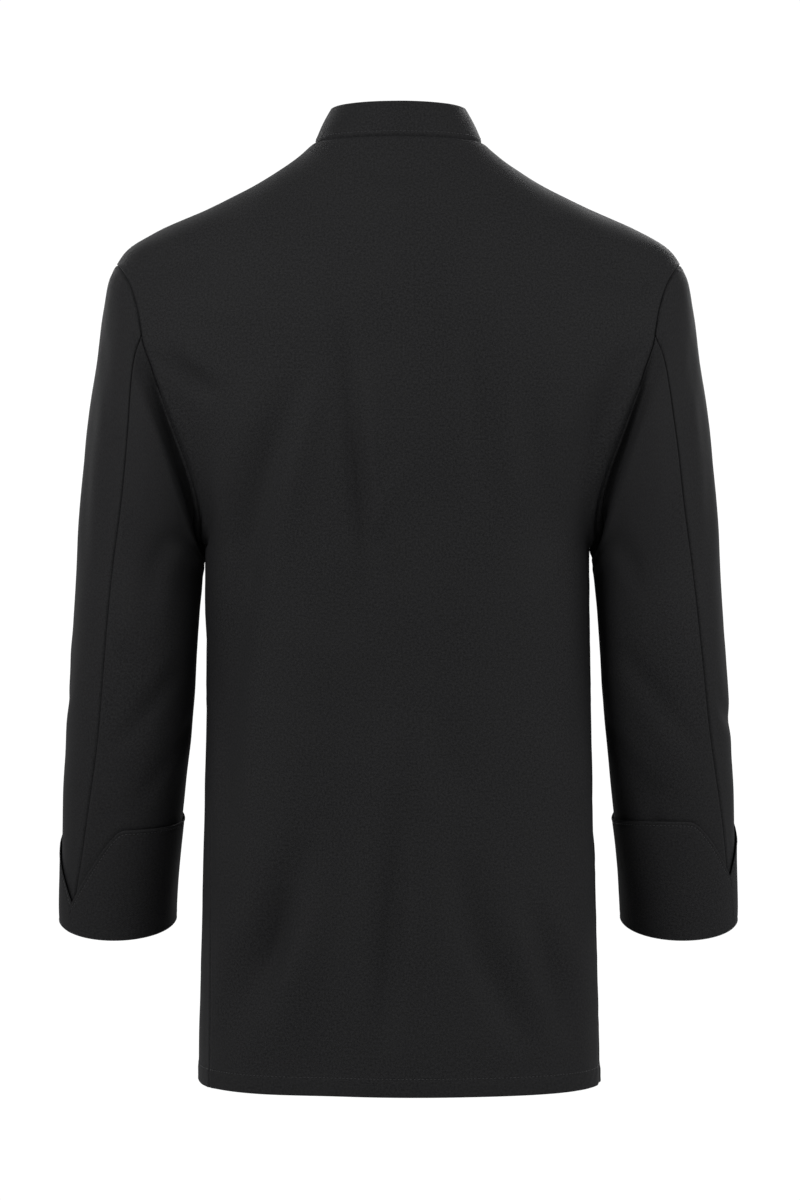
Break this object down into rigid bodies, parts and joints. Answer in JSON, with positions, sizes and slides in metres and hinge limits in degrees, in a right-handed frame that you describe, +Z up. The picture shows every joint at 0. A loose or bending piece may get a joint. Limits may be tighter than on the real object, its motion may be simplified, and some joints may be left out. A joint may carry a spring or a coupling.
{
  "type": "chef jacket",
  "caption": "Long-sleeved double-breasted chef jacket in plain cloth, buttoned and filled out as worn, with a stand collar and turned-back cuffs.",
  "frame": {"origin": "centre of the neckline, level with the collar seam at the back, where the jacket rests round the wearer's neck and shoulders", "axes": "+Z up, -Y the way the wearer faces, +X the wearer's left; the camera behind the wearer looks along -Y"},
  "size_m": [0.587, 0.2691, 0.8251],
  "materials": {
    "cloth": "black fine twill workwear cloth, matt with a faint sheen at grazing angles",
    "button": "black satin plastic sew-through buttons"
  },
  "bodies": {
    "root": {"back": "cloth", "front_left": "cloth", "front_right": "cloth", "collar": "cloth", "sleeve_left_upper": "cloth", "sleeve_left_under": "cloth", "sleeve_right_upper": "cloth", "sleeve_right_under": "cloth", "cuff_left": "cloth", "cuff_right": "cloth", "button_left_1": "button", "button_left_2": "button", "button_left_3": "button", "button_left_4": "button", "button_left_5": "button", "button_right_1": "button", "button_right_2": "button", "button_right_3": "button", "button_right_4": "button", "button_right_5": "button"}
  },
  "joints": []
}
